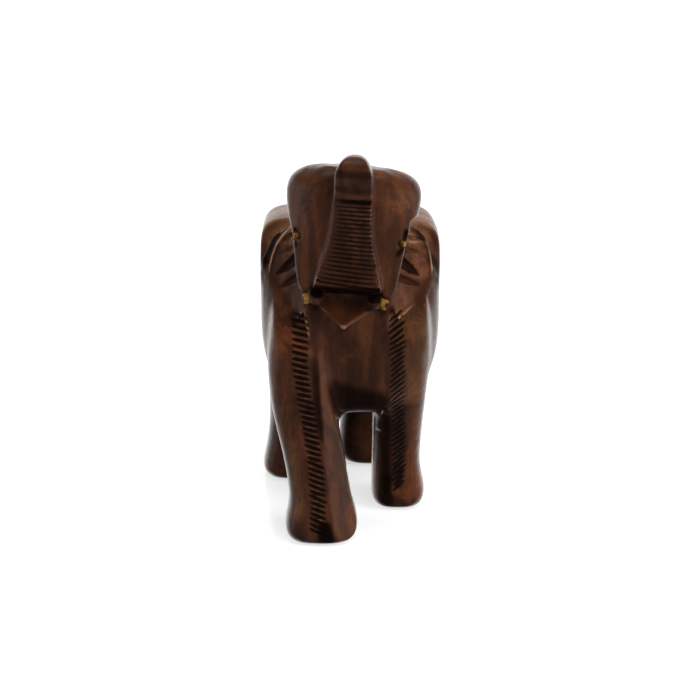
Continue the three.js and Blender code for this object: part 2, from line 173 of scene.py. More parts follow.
def new_mesh(name, points, triangles):
    """A mesh from points in mm and triangles."""
    mesh = bpy.data.meshes.new(name)
    mesh.vertices.add(len(points))
    mesh.vertices.foreach_set("co", (points * MM).astype(np.float32).ravel())
    mesh.loops.add(len(triangles) * 3)
    mesh.loops.foreach_set("vertex_index", triangles.astype(np.int32).ravel())
    mesh.polygons.add(len(triangles))
    mesh.polygons.foreach_set("loop_start", np.arange(0, len(triangles) * 3, 3, dtype=np.int32))
    mesh.update(calc_edges=True)
    mesh.validate()
    return mesh


def new_object(name, data):
    """An object in the scene."""
    made = bpy.data.objects.new(name, data)
    bpy.context.scene.collection.objects.link(made)
    return made


# ---- The blank: the CAD body, filleted and rounded ----

NECK = (-8, -14)  # y in mm, over which the body gives way to the head
CHEST = (84, 92)  # z in mm, over which it does so above the chest


def rounded_blank(block, points, triangles):
    """The body and legs well rounded with filleted joins; the head, ears and trunk only lightly."""
    rough = Block(BLANK_MARGIN, BLANK_VOXEL)
    grown = rough.distance(points, triangles, FILLET + 2 * BLANK_VOXEL)
    closed = rough.distance(*rough.mesh(grown, FILLET), FILLET + 3 * BODY_SOFTNESS) + FILLET
    closed = soften(closed, BODY_SOFTNESS, BLANK_VOXEL)
    reach = 3 * HEAD_SOFTNESS + 1
    body = block.distance(*rough.mesh(closed), reach)
    head = block.distance(points, triangles, reach)
    # The head takes over in front of the neck and above the chest; only the voxels round it are softened.
    head_part, _ = block.window([-99, -99, 78], [99, 0, 199])
    head[head_part] = soften(head[head_part], HEAD_SOFTNESS, block.voxel)
    _, y, z = np.meshgrid(*block.axes, indexing="ij", sparse=True)
    share = ramp(y, *NECK) * ramp(z, *CHEST)
    blank = body + (head - body) * share
    return np.maximum(blank, -z)


# ---- Paring: hollows, swellings, flat facets and ears ----

FACET_RUN_OUT = 6.0  # mm that a facet's plane has risen at the faces of its box
FACET_EDGE = 0.3  # mm, rounding of a facet's edge


def sweep_distance(coords, stations):
    """Distance to a round bar of changing radius through stations of x, y, z, radius."""
    best = None
    for (ax, ay, az, ar), (bx, by, bz, br) in zip(stations, stations[1:]):
        run = (bx - ax, by - ay, bz - az)
        length2 = sum(v * v for v in run)
        gap = [c - s for c, s in zip(coords, (ax, ay, az))]
        t = np.clip(sum(g * r for g, r in zip(gap, run)) / length2, 0, 1)
        off = sum((g - t * r) ** 2 for g, r in zip(gap, run))
        here = np.sqrt(off) - (ar + (br - ar) * t)
        best = here if best is None else np.minimum(best, here)
    return best


def sweep_window(block, stations, margin):
    """The voxels within a margin of a sweep, and how far each is from it."""
    reach = max(station[3] for station in stations) + margin
    low = [min(station[i] for station in stations) - reach for i in range(3)]
    high = [max(station[i] for station in stations) + reach for i in range(3)]
    part, coords = block.window(low, high)
    return part, sweep_distance(coords, stations)


def hollow(block, wood, stations, edge=0.5):
    """Pares away a swept hollow. A station is x, y, z and radius, in mm."""
    part, distance = sweep_window(block, stations, 3)
    wood[part] = smooth_max(wood[part], -distance, edge)


def add_wood(block, wood, stations, join):
    """Leaves a swept swelling, blended into what is round it."""
    part, distance = sweep_window(block, stations, join + 3)
    wood[part] = -smooth_max(-wood[part], -distance, join)


def facet(block, wood, point, normal, low, high, fade):
    """Pares the wood flat beyond a plane, in a box between two corners, and runs out over `fade` mm."""
    normal = Vector(normal).normalized()
    part, coords = block.window(low, high)
    plane = sum((c - p) * n for c, p, n in zip(coords, point, normal))
    for c, a, b in zip(coords, low, high):
        plane = plane - FACET_RUN_OUT * (1 - ramp(np.minimum(c - a, b - c), 0, fade)) ** 2
    wood[part] = smooth_max(wood[part], plane, FACET_EDGE)


# Each ear's outline as distance from the middle and height, in mm, from its top round the outer edge to
# its point and back up under the cheek. -1 is the side of low x, the left in view, and 1 the other.
EARS = {
    -1: [(19, 120), (22.1, 117.6), (24.6, 115), (26.9, 111.4), (28.7, 107), (29.8, 102.5),
         (30, 98.5), (29.5, 95), (28.3, 91.6), (26.4, 89.2), (24.3, 87), (21.6, 84.2),
         (19.6, 82.8), (17, 87), (15, 95), (14, 106), (15, 116)],
    1: [(20, 121.5), (23.5, 119.2), (26.8, 116.6), (29.4, 113.6), (30.9, 110), (31.8, 105.8),
        (32.3, 101.5), (32, 97.6), (30.8, 94.6), (28.9, 92.4), (26.6, 90.5), (23.6, 88),
        (20.8, 85.6), (19, 84.6), (17, 89), (15.4, 97), (15, 108), (16, 118)],
}
EAR_FORWARD = {-1: 34.6, 1: 36.2}  # mm, how far forward each ear stands, as the head is turned
EAR_HINGE = 35.4  # mm ahead of that, where the planes of the ears would meet the ground at the middle
EAR_SWEEP = 0.62  # how fast an ear runs back as it goes outwards
EAR_LEAN = 0.2  # and as it goes up
EAR_THICKNESS = 2.4  # mm
EAR_DISH = 1.5  # mm, how far the middle of an ear lies behind its rim
# An ear's rings, from the dished face over the rim to the back: a share of the outline, and how far behind
# the rim's plane, in mm.
EAR_RINGS = [(0.5, EAR_DISH), (0.8, 1.25), (0.92, 0.6), (0.97, 0.12),
             (1.0, 0.0), (1.0, 1.2), (0.95, EAR_THICKNESS)]


def ear_plane(side, x, z):
    """How far back the front of an ear lies at a place across and up."""
    return EAR_SWEEP * np.abs(x) + EAR_LEAN * z - EAR_FORWARD[side] - EAR_HINGE


def ear_blade(side):
    """A leaf with a crisp rim and a dished face: points in mm and triangles."""
    outline = np.array(EARS[side], float)
    middle = outline.mean(axis=0)
    points = []
    for share, back in EAR_RINGS:
        flat = middle + (outline - middle) * share
        x = side * flat[:, 0]
        points += list(zip(x, ear_plane(side, x, flat[:, 1]) + back, flat[:, 1]))
    n = len(outline)
    triangles = []
    for ring in range(len(EAR_RINGS) - 1):
        for i in range(n):
            j = (i + 1) % n
            a, b, c, d = ring * n + i, ring * n + j, ring * n + n + i, ring * n + n + j
            triangles += [(a, b, d), (a, d, c)]
    for ring, back in ((0, EAR_DISH), (len(EAR_RINGS) - 1, EAR_THICKNESS)):
        hub = len(points)
        points.append((side * middle[0], float(ear_plane(side, middle[0], middle[1])) + back, middle[1]))
        for i in range(n):
            edge = (ring * n + i, ring * n + (i + 1) % n)
            triangles.append((hub, *(edge if ring else edge[::-1])))
    points = np.array(points, np.float32)
    return points, outward(points, np.array(triangles))


def set_ears(block, wood):
    """Clears the shoulder behind each ear and sets the ear in its place."""
    for side, (left, right) in {-1: (-42, -14), 1: (14, 42)}.items():
        part, (x, y, z) = block.window((left, -70, 66), (right, -20, 124))
        # Wood goes where it is ahead of the ear's back and of the shoulder, and also beside the cheek. Each
        # is divided by the length of its slope, so that it is a distance in mm.
        shoulder = 0.61 * (z - 72) - 48.0
        cheek = 21.4 - (113 - z) * 0.19
        ahead_of_ear = (y - ear_plane(side, x, z) - EAR_THICKNESS * 0.8) / 1.19
        ahead_of_shoulder = (y - shoulder) / 1.17
        beside_cheek = (cheek - side * x) / 1.02
        cleared = np.maximum(np.maximum(ahead_of_ear, ahead_of_shoulder), beside_cheek)
        wood[part] = smooth_max(wood[part], -cleared, 1.0)
        blade = block.distance(*ear_blade(side), 4)[part]
        wood[part] = -smooth_max(-wood[part], -blade, 0.5)


# Gouge strokes in each ear, wide at the cheek and pointed outwards: from and to, as distance from the
# middle and height, and half the width at the wide end, all in mm.
EAR_GOUGES = {
    -1: [((20.4, 115.4), (24.6, 112.2), 1.1), ((20.2, 110.6), (25.2, 107.8), 0.8),
         ((19.6, 106.8), (26.8, 99.8), 2.0), ((18.8, 100.4), (25.8, 94.8), 1.5)],
    1: [((21.2, 114.8), (28.0, 112.8), 1.1), ((20.8, 110.4), (27.2, 108.2), 1.0),
        ((20.2, 106.2), (27.0, 99.8), 2.1), ((19.6, 100.0), (27.4, 96.0), 1.5)],
}
GOUGE_LIFT = 0.35  # share of its radius that a gouge's middle stands off the wood


def gouge_stations(side, gouge):
    """The sweep of one gouge stroke, laid on the dished face of its ear."""
    (x0, z0), (x1, z1), half = gouge
    x2, z2 = x0 + (x1 - x0) * 0.55, z0 + (z1 - z0) * 0.55
    return [(side * x, float(ear_plane(side, x, z)) + EAR_DISH - radius * GOUGE_LIFT, z, radius)
            for x, z, radius in ((x0, z0, half), (x2, z2, half * 0.85), (x1, z1, 0.25))]


def pare(block, wood):
    """Everything that gouge and chisel do before the rows of knife cuts."""
    set_ears(block, wood)
    for side, gouges in EAR_GOUGES.items():
        for gouge in gouges:
            hollow(block, wood, gouge_stations(side, gouge), 0.2)
    # Deep pits at the points of the ears.
    hollow(block, wood, [(-20.6, -42.5, 88, 1.9), (-20.2, -43.5, 84.6, 1.4)], 0.3)
    hollow(block, wood, [(18.4, -45, 88.6, 1.9), (18.8, -45, 84.8, 1.5)], 0.3)
    # Almond-shaped sinkings round the eyes.
    hollow(block, wood, [(-19.4, -46.4, 120.8, 0.4), (-19.6, -46.2, 118, 1.9),
                         (-19.2, -47.4, 114.4, 0.3)], 0.2)
    hollow(block, wood, [(21.4, -47.6, 119.8, 0.5), (21.0, -49.4, 115.8, 2.1),
                         (18.6, -51.0, 111.2, 0.3)], 0.2)
    # The corners of the mouth close round the ferrules, and the lower lip comes to a point.
    add_wood(block, wood, [(-11.7, -48.5, 95.4, 3.1), (-10.4, -45, 96.2, 3.1)], 0.8)
    add_wood(block, wood, [(9.9, -50.6, 93.9, 2.9), (9.2, -47, 94.4, 2.9)], 0.8)
    add_wood(block, wood, [(-10.2, -47.6, 92.6, 1.0), (-1.4, -53.8, 85.6, 0.9)], 0.8)
    add_wood(block, wood, [(-1.4, -53.8, 85.6, 0.9), (8.4, -50.6, 91.4, 1.0)], 0.8)
    # A crease parts the trunk's smooth tip from its ribs.
    hollow(block, wood, [(-4.8, -57.4, 133.2, 0.9), (2.4, -57.8, 132.6, 1.0),
                         (9.4, -57.4, 132.9, 0.9)], 0.2)

    # Leading foreleg: the valley beside its row of cuts, and the flat inner face from chest to foot.
    hollow(block, wood, [(-12.0, -46.2, 88, 2.8), (-12.2, -47.2, 78, 2.8), (-12.0, -51.0, 66, 2.6),
                         (-11.2, -53.4, 56, 2.1), (-10.4, -55.2, 47, 1.4), (-9.4, -56.6, 38, 0.5)])
    face, inward = (-10.2, -51.6, 56), (0.713, -0.666, 0.216)
    facet(block, wood, face, inward, (-17, -76, 62), (-8.2, -38, 79), 1.5)
    facet(block, wood, face, inward, (-17, -76, 50), (-6.6, -38, 66), 1.5)
    facet(block, wood, face, inward, (-17, -76, 28), (-4.2, -38, 54), 1.5)
    facet(block, wood, face, inward, (-17, -76, -9), (14, -30, 47), 2)
    # The toes are parted by a short deep cut.
    hollow(block, wood, [(-8.6, -63.6, 7.5, 0.3), (-8.0, -64.0, 3.2, 1.8), (-7.6, -64.2, -1, 2.2)], 0.4)

    # Trailing foreleg: a dark flat inner face, and a pocket beside the end of its row of cuts.
    facet(block, wood, (15.0, -31.4, 36), (-0.76, -0.62, 0.1), (7, -52, -8), (24, -6, 38), 4)
    hollow(block, wood, [(15.0, -29.4, 15.5, 0.3), (15.3, -29.0, 12, 1.3), (16.6, -28.6, 9, 1.1)], 0.4)


# ---- Knife cuts: one node tree lays a row of cuts on any surface ----

def add_node(tree, kind, inputs=None, **settings):
    """Adds a node with its settings. Inputs map a socket's name or number to a value or another socket."""
    made = tree.nodes.new(kind)
    for key, value in settings.items():
        setattr(made, key, value)
    for key, value in (inputs or {}).items():
        if isinstance(value, bpy.types.NodeSocket):
            tree.links.new(value, made.inputs[key])
        else:
            made.inputs[key].default_value = value
    return made


def knife_row_tree(material):
    """Cuts along a guide line, each laid on the surface behind it and pointed at both ends."""
    tree = bpy.data.node_groups.new("knife_row", "GeometryNodeTree")
    face = tree.interface
    face.new_socket("Geometry", in_out="INPUT", socket_type="NodeSocketGeometry")
    face.new_socket("Geometry", in_out="OUTPUT", socket_type="NodeSocketGeometry")
    sizes = {
        "Surface": ("NodeSocketObject", None),
        "Count": ("NodeSocketInt", 20),
        "First Length": ("NodeSocketFloat", 7 * MM),
        "Last Length": ("NodeSocketFloat", 7 * MM),
        "Length Growth": ("NodeSocketFloat", 1.0),
        "Half Width": ("NodeSocketFloat", 0.5 * MM),
        "First Slant": ("NodeSocketFloat", 0.0),
        "Last Slant": ("NodeSocketFloat", 0.0),
        "Unevenness": ("NodeSocketFloat", 0.15),
        "Bluntness": ("NodeSocketFloat", 0.5),
        "Lift": ("NodeSocketFloat", 0.0),
        "Seed": ("NodeSocketInt", 1),
    }
    for name, (kind, value) in sizes.items():
        socket = face.new_socket(name, in_out="INPUT", socket_type=kind)
        if value is not None:
            socket.default_value = value
    given = add_node(tree, "NodeGroupInput").outputs

    places = add_node(tree, "GeometryNodeResampleCurve", {
        "Curve": given["Geometry"], "Count": given["Count"]})
    points = add_node(tree, "GeometryNodeCurveToPoints", {"Curve": places.outputs[0]}, mode="EVALUATED")
    last = add_node(tree, "ShaderNodeMath", {0: given["Count"], 1: 1.0}, operation="SUBTRACT")
    index = add_node(tree, "GeometryNodeInputIndex")
    share = add_node(tree, "ShaderNodeMath", {0: index.outputs[0], 1: last.outputs[0]},
                     operation="DIVIDE").outputs[0]
    growth = add_node(tree, "ShaderNodeMath", {0: share, 1: given["Length Growth"]},
                      operation="POWER").outputs[0]
    length = add_node(tree, "ShaderNodeMapRange", {"Value": growth, "To Min": given["First Length"],
                                                   "To Max": given["Last Length"]}).outputs[0]
    slant = add_node(tree, "ShaderNodeMapRange", {"Value": share, "To Min": given["First Slant"],
                                                  "To Max": given["Last Slant"]}).outputs[0]
    least = add_node(tree, "ShaderNodeMath", {0: 1.0, 1: given["Unevenness"]},
                     operation="SUBTRACT").outputs[0]
    most = add_node(tree, "ShaderNodeMath", {0: 1.0, 1: given["Unevenness"]}, operation="ADD").outputs[0]
    stretch = add_node(tree, "FunctionNodeRandomValue", {2: least, 3: most, "Seed": given["Seed"]},
                       data_type="FLOAT").outputs[1]
    length = add_node(tree, "ShaderNodeMath", {0: length, 1: stretch}, operation="MULTIPLY").outputs[0]
    # A longer cut than its neighbours is also turned a little.
    sway = add_node(tree, "ShaderNodeMath", {0: stretch, 1: 1.0}, operation="SUBTRACT").outputs[0]
    sway = add_node(tree, "ShaderNodeMath", {0: sway, 1: 0.4}, operation="MULTIPLY").outputs[0]
    slant = add_node(tree, "ShaderNodeMath", {0: slant, 1: sway}, operation="ADD").outputs[0]

    line = add_node(tree, "GeometryNodeCurvePrimitiveLine", {"Start": (-0.5, 0, 0), "End": (0.5, 0, 0)})
    line = add_node(tree, "GeometryNodeResampleCurve", {"Curve": line.outputs[0], "Count": 15})
    turn = add_node(tree, "ShaderNodeCombineXYZ", {"Y": slant})
    scale = add_node(tree, "ShaderNodeCombineXYZ", {"X": length, "Y": 1.0, "Z": 1.0})
    copies = add_node(tree, "GeometryNodeInstanceOnPoints", {
        "Points": points.outputs["Points"], "Instance": line.outputs[0],
        "Rotation": turn.outputs[0], "Scale": scale.outputs[0]})
    lines = add_node(tree, "GeometryNodeRealizeInstances", {"Geometry": copies.outputs[0]})

    # Every line of cut is thrown back on to the surface.
    surface = add_node(tree, "GeometryNodeObjectInfo", {"Object": given["Surface"]},
                       transform_space="ORIGINAL")
    hit = add_node(tree, "GeometryNodeRaycast", {"Target Geometry": surface.outputs["Geometry"],
                                                 "Ray Direction": (0, 1, 0), "Ray Length": 0.1})
    lift = add_node(tree, "ShaderNodeVectorMath", {
        "Vector": hit.outputs["Hit Normal"], "Scale": given["Lift"]}, operation="SCALE")
    on_surface = add_node(tree, "ShaderNodeVectorMath", {
        0: hit.outputs["Hit Position"], 1: lift.outputs[0]}, operation="ADD")
    laid = add_node(tree, "GeometryNodeSetPosition", {
        "Geometry": lines.outputs[0], "Selection": hit.outputs["Is Hit"],
        "Position": on_surface.outputs[0]})

    # A cut is widest and deepest at its middle: (4 t (1 - t)) to the power of its bluntness.
    along = add_node(tree, "GeometryNodeSplineParameter").outputs["Factor"]
    back = add_node(tree, "ShaderNodeMath", {0: 4.0, 1: along}, operation="MULTIPLY").outputs[0]
    rest = add_node(tree, "ShaderNodeMath", {0: 1.0, 1: along}, operation="SUBTRACT").outputs[0]
    hump = add_node(tree, "ShaderNodeMath", {0: back, 1: rest}, operation="MULTIPLY").outputs[0]
    depth = add_node(tree, "ShaderNodeMath", {0: hump, 1: given["Bluntness"]}, operation="POWER").outputs[0]
    depth = add_node(tree, "ShaderNodeMath", {0: depth, 1: 0.02}, operation="MAXIMUM").outputs[0]
    radius = add_node(tree, "ShaderNodeMath", {0: given["Half Width"], 1: depth},
                      operation="MULTIPLY").outputs[0]
    outline = add_node(tree, "GeometryNodeCurvePrimitiveCircle", {"Resolution": 6, "Radius": 1.0})
    blade = add_node(tree, "GeometryNodeCurveToMesh", {
        "Curve": laid.outputs[0], "Profile Curve": outline.outputs[0], "Scale": radius, "Fill Caps": True})
    solid = add_node(tree, "GeometryNodeRealizeInstances", {"Geometry": blade.outputs[0]})
    finish = add_node(tree, "GeometryNodeSetMaterial", {"Geometry": solid.outputs[0], "Material": material})
    add_node(tree, "NodeGroupOutput", {0: finish.outputs[0]})
    return tree


GUIDE_PLACE = -75  # y in mm, ahead of the whole figure


def guide_curve(name, stations):
    """A poly line through x and z places in mm, in front of the figure."""
    curve = bpy.data.curves.new(name, "CURVE")
    curve.dimensions = "3D"
    spline = curve.splines.new("POLY")
    spline.points.add(len(stations) - 1)
    for point, (x, z) in zip(spline.points, stations):
        point.co = (x * MM, GUIDE_PLACE * MM, z * MM, 1)
    return new_object(name, curve)


def cut_row(tree, surface, name, stations, **values):
    """The cutters of one row as points in mm and triangles."""
    guide = guide_curve(name, stations)
    row = guide.modifiers.new("knife_row", "NODES")
    row.node_group = tree
    names = {item.name: item.identifier for item in tree.interface.items_tree if item.in_out == "INPUT"}
    row[names["Surface"]] = surface
    for key, value in values.items():
        row[names[key.replace("_", " ").title()]] = value
    bpy.context.view_layer.update()
    evaluated = guide.evaluated_get(bpy.context.evaluated_depsgraph_get())
    mesh = bpy.data.meshes.new_from_object(evaluated)
    points, triangles = mesh_arrays(mesh)
    bpy.data.meshes.remove(mesh)
    bpy.data.objects.remove(guide)
    return points, triangles


def knife_cuts(block, wood, material):
    """Distances to the cutters of every row. Guides are x and z in mm."""
    points, triangles = block.mesh(wood)
    base = new_object("wood_before_cuts", new_mesh("wood_before_cuts", points, triangles))
    tree = knife_row_tree(material)
    degrees = math.radians
    rows = [
        # Ribs across the trunk, close and level at the top, longer and more sloped at its root.
        cut_row(tree, base, "trunk_ribs", [(2.4, 131.0), (1.8, 118), (0.9, 110), (0.0, 102.6)],
                count=19, first_length=14.0 * MM, last_length=24.4 * MM, length_growth=1.9,
                half_width=0.57 * MM, first_slant=degrees(3), last_slant=degrees(7),
                unevenness=0.04, bluntness=0.14, lift=0.1 * MM, seed=3),
        cut_row(tree, base, "leading_leg_cuts",
                [(-18.0, 86), (-17.9, 67.3), (-16.0, 56.2), (-14.5, 48.8), (-12.1, 31.8), (-11.2, 18.8),
                 (-11.0, 6)],
                count=38, first_length=7.0 * MM, last_length=7.8 * MM, half_width=0.74 * MM,
                first_slant=degrees(10), last_slant=degrees(24), unevenness=0.14, bluntness=0.35, seed=5),
        cut_row(tree, base, "trailing_leg_cuts",
                [(18.1, 86), (18.8, 73), (19.0, 60), (19.5, 43.2), (20.1, 26.9), (20.3, 11)],
                count=35, first_length=8.4 * MM, last_length=8.2 * MM, half_width=0.64 * MM,
                first_slant=degrees(-36), last_slant=degrees(-44), unevenness=0.14, bluntness=0.35, seed=8),
    ]
    bpy.data.objects.remove(base)
    offset, all_points, all_triangles = 0, [], []
    for points, triangles in rows:
        all_points.append(points)
        all_triangles.append(triangles + offset)
        offset += len(points)
    return block.distance(np.concatenate(all_points), np.concatenate(all_triangles), 3 * block.voxel)


# ---- The finished carving ----

EDGE_RADIUS = 0.55  # mm, of the blur that finds edges
HOLLOW_SHADE_RADIUS = 2.4  # mm, of the blur that finds hollows


def merged_copy(node):
    """The node's mesh with its loose triangles joined."""
    work = bmesh.new()
    work.from_mesh(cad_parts[node].data)
    bmesh.ops.remove_doubles(work, verts=work.verts, dist=1e-6)
    bmesh.ops.triangulate(work, faces=work.faces)
    mesh = bpy.data.meshes.new(node + "_merged")
    work.to_mesh(mesh)
    work.free()
    return mesh


# Strokes of painted shade, which also darken the eyes and two grain rings on the trunk, and strokes of
# painted light and wear: stations of x, y, z and radius, how far the stroke fades out, all in mm, and its
# strength.
PAINTED_SHADE_AND_STAIN = [
    ([(-12, -50, 97.8, 1.6), (0, -56, 98.0, 2.0), (11.5, -52, 96.2, 1.6)], 1.6, 1.0),  # open mouth
    ([(-12.5, -57.5, 101.3, 0.7), (11.5, -59, 100.6, 0.7)], 1.2, 1.0),  # root of the trunk
    ([(-5, -57, 133.4, 0.5), (9.6, -57, 132.6, 0.5)], 1.4, 0.95),  # crease under the trunk's tip
    ([(-4, -59, 138.0, 1.2), (9.4, -59, 137.4, 1.2)], 1.4, 0.55),  # two dark rings above it
    ([(-4, -61.5, 144.6, 1.0), (9, -61.5, 144, 1.0)], 1.6, 0.55),
    ([(-19.6, -46, 120.4, 0.6), (-19.4, -47, 114.8, 0.6)], 1.3, 0.95),  # left eye
    ([(21.4, -48, 120, 0.6), (21.4, -49, 115.6, 1.2), (18.4, -51, 111.4, 0.4)], 1.3, 0.95),  # right eye
    ([(-20.6, -42, 88, 2), (-20.2, -43, 84, 1.5)], 2, 0.9),  # pits at the points of the ears
    ([(18.4, -45, 88.6, 2), (18.8, -45, 84, 1.5)], 2, 0.9),
    # Grooves behind the ears.
    ([(-24, -29, 119, 2.2), (-30, -26.5, 113, 3), (-33, -26.5, 104, 3), (-33.5, -28, 96, 1)], 2, 0.9),
    ([(24, -30, 119, 2.2), (31.5, -27, 113, 3), (34.5, -27, 104, 3), (35, -28.5, 96, 1)], 2, 0.9),
    # Valley beside the leading foreleg's cuts.
    ([(-12.2, -47, 86, 1.6), (-12.2, -49.5, 70, 1.6), (-11, -53, 54, 1.0), (-9.6, -56, 42, 0.5)], 2, 0.85),
    ([(-8.5, -62.5, 8, 1.6), (-8.0, -62.5, 1.5, 2.6)], 2.2, 0.9),  # between the toes
    ([(15.4, -28, 14, 1.5), (15.2, -28, 9, 1.6)], 1.8, 0.9),  # pocket in the trailing foreleg
    ([(-7, -49, 95, 2.5), (-1, -53, 91, 4.5), (7, -50.5, 93.6, 2.5)], 3, 0.6),  # inside the lower lip
    ([(-3, -46, 77, 3), (4, -45, 66, 6), (4, -43, 56, 6)], 6, 0.3),  # chest
    ([(-6, -43, 57, 2), (2, -41, 50, 5), (10, -39, 50, 4)], 7, 0.8),  # under the chest
    ([(13.6, -33, 40, 2.5), (14.4, -30, 22, 2.5), (14.6, -28, 4, 2.5)], 3, 0.75),  # inside the trailing leg
    ([(2, 20, 30, 12), (2, 20, 5, 12)], 8, 0.4),  # hind legs, inside
]
# The gouges in the ears get painted shade too, more of it in the wider ones.
for ear, ear_cuts in EAR_GOUGES.items():
    PAINTED_SHADE_AND_STAIN += [(gouge_stations(ear, gouge), 0.6, 0.36 * gouge[2]) for gouge in ear_cuts]
# Paler and duller: partly wear on the tops, partly painted light on the tops, the forelegs' outer sides and
# the right dome and cheek.
WEAR_AND_PAINTED_LIGHT = [
    ([(-27, -29, 119, 5), (27, -28, 118, 5)], 5, 0.9),  # tops of the shoulders
    ([(-20, -16, 118, 12), (-18, 30, 118, 12)], 6, 0.85),  # and the back behind them
    ([(20, -16, 118, 12), (18, 30, 118, 12)], 6, 0.85),
    ([(24, -43, 86, 3), (27, -40, 64, 3), (28, -36, 44, 2)], 6, 0.55),  # outer side of the trailing foreleg
    ([(27, -33, 40, 2), (27, -30, 16, 2)], 5, 0.3),
    ([(-22, -58, 40, 1), (-20, -62, 14, 2)], 5, 0.6),  # outer side of the leading foreleg
    ([(18, -46, 138, 5), (18, -50, 118, 4), (14, -50, 106, 2)], 6, 0.12),  # right dome and cheek
]


def strokes(places, painted):
    """How strongly a set of strokes covers each place in mm."""
    coords = [places[:, i] for i in range(3)]
    total = np.zeros(len(places), np.float32)
    for stations, fade, strength in painted:
        near = 1 - ramp(sweep_distance(coords, stations), 0, fade)
        total = np.maximum(total, near * strength)
    return total


def carve(cut_material):
    """The finished carving, with what its lacquer, painted shade and painted light need to know at each
    vertex.
    """
    points, triangles = mesh_arrays(merged_copy("carved_body"))
    block = Block(CARVING_MARGIN, VOXEL)
    wood = rounded_blank(block, points, triangles)
    pare(block, wood)
    uncut = wood.copy()
    cutters = knife_cuts(block, wood, cut_material)
    wood = np.maximum(wood, -cutters)
    wood = soften(wood, KNIFE_SOFTNESS, VOXEL)

    mesh = new_mesh("carved_elephant", *block.mesh(wood))
    piece = new_object("carved_elephant", mesh)
    if len(mesh.polygons) > FINISHED_TRIANGLES:
        thin = piece.modifiers.new("thin", "DECIMATE")
        thin.ratio = FINISHED_TRIANGLES / len(mesh.polygons)
        bpy.context.view_layer.update()
        evaluated = piece.evaluated_get(bpy.context.evaluated_depsgraph_get())
        thinned = bpy.data.meshes.new_from_object(evaluated)
        piece.modifiers.clear()
        piece.data = thinned
        bpy.data.meshes.remove(mesh)
        mesh = thinned
    mesh.name = "carved_elephant"
    mesh.polygons.foreach_set("use_smooth", np.ones(len(mesh.polygons), bool))

    places = np.empty(len(mesh.vertices) * 3, np.float32)
    mesh.vertices.foreach_get("co", places)
    places = places.reshape(-1, 3) / MM
    here = block.sample(wood, places)
    # Masks for the colour: cut depth and hollows take painted shade, edges a painted highlight with wear,
    # the dark strokes painted shade, and the pale strokes painted light with wear.
    measures = {
        "cut_depth": np.clip(-block.sample(uncut, places), 0, 2),
        "edge": block.sample(soften(wood, EDGE_RADIUS, VOXEL), places) - here,
        "hollow_shade": block.sample(soften(wood, HOLLOW_SHADE_RADIUS, VOXEL), places) - here,
        "painted_shade_and_stain": strokes(places, PAINTED_SHADE_AND_STAIN),
        "wear_and_painted_light": strokes(places, WEAR_AND_PAINTED_LIGHT),
    }
    for name, values in measures.items():
        layer = mesh.attributes.new(name, "FLOAT", "POINT")
        layer.data.foreach_set("value", values.astype(np.float32))
    return piece


# ---- Materials ----

def linear(hex_colour):
    """An sRGB hex colour as linear RGBA."""
    parts = [int(hex_colour[i:i + 2], 16) / 255 for i in (1, 3, 5)]
    return [p / 12.92 if p <= 0.04045 else ((p + 0.055) / 1.055) ** 2.4 for p in parts] + [1.0]


def shader_tree(name):
    """A new material, its node tree and its surface node."""
    material = bpy.data.materials.new(name)
    material.use_nodes = True
    tree = material.node_tree
    tree.nodes.clear()
    surface = add_node(tree, "ShaderNodeBsdfPrincipled")
    add_node(tree, "ShaderNodeOutputMaterial", {"Surface": surface.outputs[0]})
    return material, tree, surface


def layered(tree, colour, layers):
    """Lays tints over a colour. A layer is a mask, its start and its full value, a strength and a tint."""
    for mask, start, full, strength, tint in layers:
        share = add_node(tree, "ShaderNodeMapRange", {
            "Value": mask, "From Min": start, "From Max": full, "To Max": strength},
            interpolation_type="SMOOTHSTEP")
        mix = add_node(tree, "ShaderNodeMix", {0: share.outputs[0], 6: colour, 7: linear(tint)},
                       data_type="RGBA")
        colour = mix.outputs[2]
    return colour


